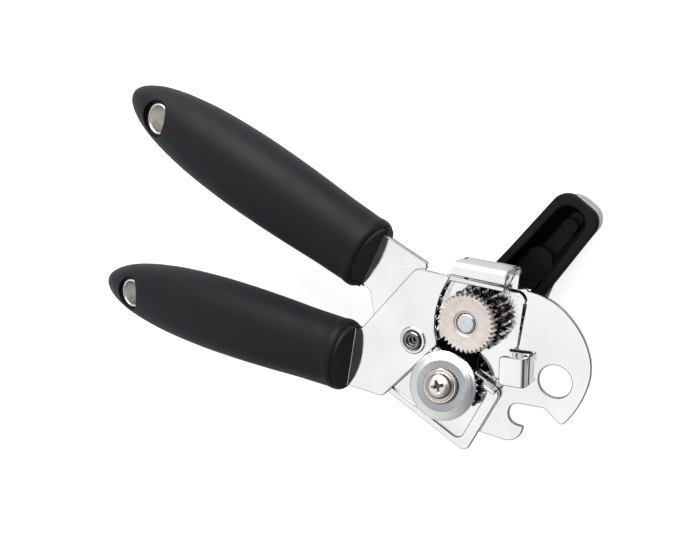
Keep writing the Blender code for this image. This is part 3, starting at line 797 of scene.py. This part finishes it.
def slot_highlight_line():
    """Pale strip along the edge of the lower plug's slot: a painted highlight line."""
    grip, place, body = GRIPS["lower"]
    out = grip.end + 0.32 + PLUG_REACH * 0.92
    half = PLUG_HALF - 0.5
    lead = PLUG_SLANT["lower"] * half
    low_y, high_y = grip.axis - half, grip.axis + half
    loop = [(out - 1.2, low_y), (out - lead, low_y), (out + lead, high_y), (out - 1.2, high_y)]
    made = to_object("slot_highlight_line", prism(loop, FRONT_LEVEL + 0.01, FRONT_LEVEL + 0.14), place)
    finish(made, "highlight_line", body)


def eyelet(side):
    """Tube with a thin rolled rim at both mouths."""
    grip, place, body = GRIPS[side]
    half, outer = EYELET_HALF_HEIGHT, EYELET_RADIUS
    profile = [
        (outer - 0.1, half - 0.7, 0.1), (outer + 0.25, half - 0.5, 0.2), (outer + 0.25, half, 0.3),
        (outer - 0.45, half + 0.1, 0.2), (outer - 0.75, half - 0.2, 0.2), (outer - 0.5, half - 1.2, 0.4),
        (outer - 0.5, -half + 1.2, 0.4), (outer - 0.7, -half, 0.25), (outer, -half, 0.25),
        (outer, -half + 0.6, 0.2), (outer - 0.1, -half + 0.8, 0.2),
    ]
    spot = place @ Matrix.Translation(Vector(grip.eyelet_spot()) * MM)
    made = to_object(side + "_eyelet_tube", turned(profile, 72, closed=True), spot)
    finish(made, "lining", body, side + "_eyelet")


def rivet():
    """Hollow rivet with a rolled rim, and the ring under it."""
    back = ARM_LEVEL - SHEET
    profile = [
        (0.02, -2.6, 0.0), (0.75, -2.6, 0.1), (0.8, -1.3, 0.1), (1.25, -1.2, 0.15), (1.35, 0.1, 0.1),
        (1.8, 0.2, 0.2), (1.95, 1.2, 0.25), (2.6, 1.3, 0.35), (3.1, 0.95, 0.3), (3.0, 0.5, 0.1),
        (2.6, 0.45, 0.1), (2.6, back - 0.4, 0.1), (3.9, back - 0.4, 0.15), (3.9, back - 1.0, 0.4),
        (2.4, back - 1.5, 0.4), (0.02, back - 1.5, 0.0),
    ]
    made = to_object("hollow_rivet", turned(profile, 72), LOWER)
    finish(made, "rivet", "lower_arm", "pivot_rivet")
    profile = [(4.6, 0.02, 0.05), (4.6, 0.3, 0.15), (4.25, 0.58, 0.15), (3.55, 0.58, 0.15),
               (3.5, 0.25, 0.1), (2.8, 0.1, 0.05)]
    made = to_object("rivet_ring", turned(profile, 72, closed=True), LOWER)
    finish(made, "small", "lower_arm", "pivot_washer")


def feed_wheel():
    """Finely toothed wheel with a flat rim, a sunk face and a step round its bore."""
    teeth = toothed(FEED_TEETH, 8.3, 9.3, 0.84, 0.12)
    bore = beneath(teeth, DRIVE_BORE)
    rows = [
        (shrunk(teeth, 0.22), FEED_BACK), (teeth, FEED_BACK + 0.25), (teeth, FEED_FRONT - 0.3),
        (shrunk(teeth, 0.22), FEED_FRONT), (beneath(teeth, 7.6), FEED_FRONT),
        (beneath(teeth, 7.45), FEED_FRONT - 0.06), (beneath(teeth, 4.05), FEED_FRONT - 0.06),
        (beneath(teeth, 3.75), FEED_FRONT - 0.2), (beneath(teeth, 3.6), FEED_FRONT - 0.5),
        (bore, FEED_FRONT - 0.5), (bore, FEED_BACK),
    ]
    made = to_object("serrated_feed_wheel", stacked(rows, closed=True), DRIVE, 25.0)
    finish(made, "feed", "drive", "feed_wheel")


def drive_gear():
    """Wide gear under the feed wheel, with a collar that reaches up to it."""
    teeth = toothed(GEAR_TEETH, 7.6, DRIVE_GEAR_TIP, 0.58, 0.15)
    bore = beneath(teeth, DRIVE_BORE)
    collar = beneath(teeth, 5.0)
    top = FEED_BACK - 0.2
    rows = [
        (shrunk(teeth, 0.3), DRIVE_GEAR_BACK), (teeth, -4.05), (teeth, -0.3),
        (shrunk(teeth, 0.35), DRIVE_GEAR_FRONT), (beneath(teeth, 5.2), DRIVE_GEAR_FRONT),
        (collar, 0.3), (collar, top), (bore, top), (bore, DRIVE_GEAR_BACK),
    ]
    made = to_object("wide_drive_gear", stacked(rows, closed=True), DRIVE, 28.0)
    finish(made, "gear", "drive", "drive_gear")


def spindle_and_washer():
    """The spindle with its struck end, and the washer between the knob and the plate."""
    profile = [
        (0.02, FEED_FRONT + 0.02, 0.0), (2.45, FEED_FRONT - 0.02, 0.4), (2.95, FEED_FRONT - 0.3, 0.3),
        (SPINDLE_RADIUS, FEED_FRONT - 0.7, 0.2), (SPINDLE_RADIUS, -15.2, 0.2), (2.7, -15.6, 0.1),
        (0.02, -15.6, 0.0),
    ]
    made = to_object("riveted_spindle", turned(profile, 64), DRIVE)
    finish(made, "spindle", "drive", "spindle")
    back = FLOOR_LEVEL - SHEET
    profile = [(7.0, back - 0.3, 0.15), (7.0, back - 1.1, 0.2), (3.4, back - 1.1, 0.1),
               (3.4, back - 0.3, 0.1)]
    made = to_object("thrust_washer", turned(profile, 72, closed=True), DRIVE)
    finish(made, "small", "drive", "knob_washer")


def cutting_disc():
    """Disc with a flat middle and a long bevel down to its edge."""
    profile = [
        (CUTTER_BORE, 1.1, 0.1), (BLADE_FLAT, 1.1, 0.12), (CUTTER_RADIUS, 0.1, 0.05),
        (CUTTER_RADIUS, -0.05, 0.04), (10.3, BLADE_BACK, 0.3), (CUTTER_BORE, BLADE_BACK, 0.1),
    ]
    made = to_object("bevelled_cutting_disc", turned(profile, 160, closed=True), CUTTER, 12.0)
    finish(made, "blade", "cutter", "cutter_wheel")


def cutter_gear():
    """Gear behind the cutting disc, half a tooth out of step so that it meshes."""
    teeth = toothed(GEAR_TEETH, 8.0, CUTTER_GEAR_TIP, 0.58, 0.15, math.radians(9.0))
    bore = beneath(teeth, CUTTER_BORE)
    rows = [
        (shrunk(teeth, 0.3), CUTTER_GEAR_BACK), (teeth, -3.0), (teeth, -1.1),
        (shrunk(teeth, 0.3), CUTTER_GEAR_FRONT), (bore, CUTTER_GEAR_FRONT), (bore, CUTTER_GEAR_BACK),
    ]
    made = to_object("cutter_drive_gear", stacked(rows, closed=True), CUTTER, 28.0)
    finish(made, "gear_wide", "cutter", "cutter_gear")


def cutter_washer():
    """Washer in two steps under the screw's head."""
    profile = [
        (5.5, 1.8, 0.1), (5.5, 2.3, 0.15), (5.2, 2.62, 0.12), (4.75, 2.62, 0.1), (4.6, 2.3, 0.1),
        (4.25, 2.25, 0.1), (4.15, 2.5, 0.1), (2.2, 2.5, 0.1), (2.2, 1.8, 0.05),
    ]
    made = to_object("stepped_washer", turned(profile, 96, closed=True), CUTTER)
    finish(made, "warm", "upper_arm", "cutter_washer")


def cross_cuts():
    """Cuts of the screw's cross: a tapering bar each way, and a square that joins them."""
    rows = ((3.1, 0.35, 0.8), (4.2, 0.8, 1.0), (5.6, 1.08, 1.25))
    bars = [(z, CROSS_LONG * long_share, CROSS_THIN * thin_share) for z, long_share, thin_share in rows]
    along = stacked([(rectangle(half, thin), z) for z, half, thin in bars])
    across = stacked([(rectangle(thin, half), z) for z, half, thin in bars])
    square = stacked([(rectangle(half, half), z) for half, z in ((0.3, 3.1), (0.8, 4.4), (1.05, 5.6))])
    return along, across, square


def cutter_screw():
    """Domed screw that carries the cutter, with a worn cross in its head."""
    profile = [
        (0.02, -10.4, 0.0), (1.6, -10.4, 0.1), (1.9, -10.0, 0.1), (1.9, 2.75, 0.05), (3.95, 2.8, 0.1),
        (3.95, 3.35, 0.3), (3.45, 4.15, 0.8), (2.5, 4.75, 1.5), (1.2, 5.05, 2.0), (0.02, 5.1, 0.0),
    ]
    made = to_object("cross_head_screw", turned(profile, 72), CUTTER)
    turn = rotation(math.radians(25.0) - ARM_ANGLE)
    for cut in cross_cuts():
        boolean(made, cut, "DIFFERENCE", CUTTER @ turn)
    soften(made, 0.07)
    finish(made, "screw", "upper_arm", "cutter_screw")


def knob_outline(inset, swell):
    """A long rounded bar; swell narrows its wings and widens its hub towards the outer face."""
    tip = 7.7 - inset - 0.8 * swell
    wing = 9.0 - inset - 1.7 * swell
    hub = 10.5 - inset + 3.2 * swell
    end = KNOB_HALF - inset
    side = [(end, tip, min(5.2, tip - 0.2))]
    side += [(u, wing + (tip - wing) * (u - 20.0) / (end - 20.0), 0.0) for u in (34.0, 27.0)]
    side += [(20.0, wing, 6.0)]
    side += [(u, hub + (wing - hub) * u / 20.0, 0.0) for u in (14.0, 10.0, 6.0)]
    side += [(0.0, hub, 10.0)]
    side += [(-u, v, radius) for u, v, radius in side[-2::-1]]
    return rounded(side + [(-u, -v, radius) for u, v, radius in side], 8)


def knob_shape(rows):
    """Skins the knob's outlines: each row is (inset, swell, z)."""
    return stacked([(knob_outline(inset, swell), z) for inset, swell, z in rows])


def knob_insert():
    """Black inside of the knob: its rim, a long pad, a hub round the spindle and two pegs."""
    rows = [
        (5.3, 0.7, -22.4), (4.8, 0.62, -22.1), (4.3, 0.52, -21.2), (3.3, 0.15, KNOB_RIM - 1.6),
        (3.0, 0.0, KNOB_RIM - 0.5), (2.75, 0.0, KNOB_RIM - 0.14), (2.4, 0.0, KNOB_RIM),
        (0.75, 0.0, KNOB_RIM), (0.3, 0.0, KNOB_RIM - 0.12), (0.05, 0.0, KNOB_RIM - 0.45),
        (0.0, 0.0, KNOB_SEAM + 0.5), (0.12, 0.0, KNOB_SEAM + 0.3), (1.9, 0.0, KNOB_SEAM + 0.3),
        (1.9, 0.45, -20.0), (2.2, 0.8, -23.6),
    ]
    made = to_object("knob_insert", knob_shape(rows), DRIVE)
    back = -23.0
    pad = rounded([(x, y, 4.4) for x, y in rectangle(26.0, 4.6)], 10)
    boolean(made, prism(pad, back, -19.6), "UNION")
    boolean(made, disc(6.8, back, KNOB_HUB_FRONT, count=72), "UNION")
    for x in (-36.0, 36.0):
        boolean(made, disc(2.4, back, -21.4, x, 0.0, 36), "UNION")
    boolean(made, disc(DRIVE_BORE, -16.0, 0.0), "DIFFERENCE")
    soften(made, 0.25)
    finish(made, "knob", "drive", "knob_body")


def knob_shell():
    """Silver cover, which wraps the insert from the seam to the outer face."""
    rows = [
        (1.8, 0.85, KNOB_FACE + 2.0), (1.4, 0.45, -20.0), (1.4, 0.0, KNOB_SEAM), (0.35, 0.0, KNOB_SEAM),
        (0.12, 0.0, KNOB_SEAM - 0.2), (0.1, 0.22, -18.4), (0.1, 0.45, -20.0), (0.1, 0.7, -22.0),
        (0.1, 0.9, KNOB_FACE + 2.4), (0.25, 0.95, KNOB_FACE + 1.6), (0.6, 1.0, KNOB_FACE + 0.9),
        (1.1, 1.0, KNOB_FACE + 0.4), (1.8, 1.0, KNOB_FACE + 0.12), (2.6, 1.0, KNOB_FACE),
    ]
    made = to_object("knob_shell", knob_shape(rows), DRIVE)
    finish(made, "cover", "drive", "knob_cover")


for side in GRIPS:
    grip_skin(side)
    grip_plug(side)
    eyelet(side)
slot_highlight_line()
slot_shade_fill()
rivet()
feed_wheel()
drive_gear()
spindle_and_washer()
cutting_disc()
cutter_gear()
cutter_washer()
cutter_screw()
knob_insert()
knob_shell()
pressed_plate("pressed_head_plate", "head_plate", "head", "lower_arm", head_edge_width, head_changes())
pressed_plate("pressed_cutter_plate", "cutter_plate", "arm", "upper_arm", arm_edge_width)
keep_node("spindle_bush", "small", 0.1)
keep_node("cutter_seat", "small", 0.1)
keep_node("cutter_bush", "small", 0.05)
keep_node("cutter_nut", "warm", 0.15)

# ---------------------------------------------------------------- studio


def floor():
    """Pale sheet, lit a little from beneath, so that shadows stay faint."""
    shape = bmesh.new()
    bmesh.ops.create_grid(shape, x_segments=1, y_segments=1, size=2500.0)
    made = to_object("studio_floor", shape, Matrix.Translation((0.0, 0.0, -0.0003)))
    look, tree, shader, where = new_material("pale_floor", 0.0, 0.1)
    tone = noise(tree, where, 3.0, 2.0)
    grey = blend_colour(tree, tone, (0.53, 0.53, 0.53), (0.57, 0.57, 0.57))
    tree.links.new(grey, shader.inputs["Base Color"])
    shader.inputs["Roughness"].default_value = 0.9
    shader.inputs["Emission Color"].default_value = (1.0, 1.0, 1.0, 1.0)
    camera_ray = tree.nodes.new("ShaderNodeLightPath").outputs["Is Camera Ray"]
    tree.links.new(math_node(tree, "MULTIPLY", camera_ray, 0.80), shader.inputs["Emission Strength"])
    made.data.materials.append(look)


def world():
    """Soft room: bright on one side of the ceiling, dim on the other, and dark at the horizon."""
    made = bpy.data.worlds.new("soft_room")
    bpy.context.scene.world = made
    made.use_nodes = True
    tree = made.node_tree
    tree.nodes.clear()
    out = tree.nodes.new("ShaderNodeOutputWorld")
    where = tree.nodes.new("ShaderNodeTexCoord").outputs["Generated"]
    bright_side = Vector((-0.53, -0.16, 0.83)).normalized()
    dot = put(tree, "ShaderNodeVectorMath", {"operation": "DOT_PRODUCT"}, _0=where, _1=bright_side)
    ceiling = span(tree, dot.outputs["Value"], 0.14, 1.32, 0.20, 0.90)
    rise = span(tree, parts_of(tree, where)[2], 0.02, 1.0, 0.20, 0.50)
    light = math_node(tree, "MULTIPLY", ceiling, rise)
    room = put(tree, "ShaderNodeBackground", None, Strength=light)
    seen = put(tree, "ShaderNodeBackground", None, Color=(0.9, 0.9, 0.9, 1.0), Strength=1.0)
    camera_ray = tree.nodes.new("ShaderNodeLightPath").outputs["Is Camera Ray"]
    mix = put(tree, "ShaderNodeMixShader", None, _0=camera_ray, _1=room.outputs[0], _2=seen.outputs[0])
    tree.links.new(mix.outputs[0], out.inputs[0])


def area_light(name, spot, aim, width, height, power):
    data = bpy.data.lights.new(name, "AREA")
    data.shape = "RECTANGLE"
    data.size = width
    data.size_y = height
    data.energy = power
    made = bpy.data.objects.new(name, data)
    bpy.context.scene.collection.objects.link(made)
    made.location = spot
    made.rotation_euler = (Vector(aim) - Vector(spot)).to_track_quat("-Z", "Y").to_euler()


def camera():
    """A view from above the head's front, looking down over the grips."""
    right = Vector((0.8249, 0.0776, -0.5600))
    up = Vector((-0.1911, 0.9705, -0.1470))
    back = Vector((0.5321, 0.2283, 0.8153))
    data = bpy.data.cameras.new("camera")
    data.sensor_width = 36.0
    data.lens = 36.31
    data.clip_start = 0.005
    data.clip_end = 20.0
    made = bpy.data.objects.new("camera", data)
    bpy.context.scene.collection.objects.link(made)
    turn = Matrix((right, up, back)).transposed().to_quaternion().to_matrix().to_4x4()
    spot = LOWER.translation + Vector((0.1017, 0.0699, 0.1961))
    made.matrix_world = Matrix.Translation(spot) @ turn
    bpy.context.scene.camera = made


floor()
world()
area_light("key", (-0.10, 1.06, 0.62), (-0.05, 0.0, 0.02), 1.5, 0.8, 28.0)
camera()
bpy.context.scene.view_settings.view_transform = "Standard"
bpy.context.scene.view_settings.look = "None"
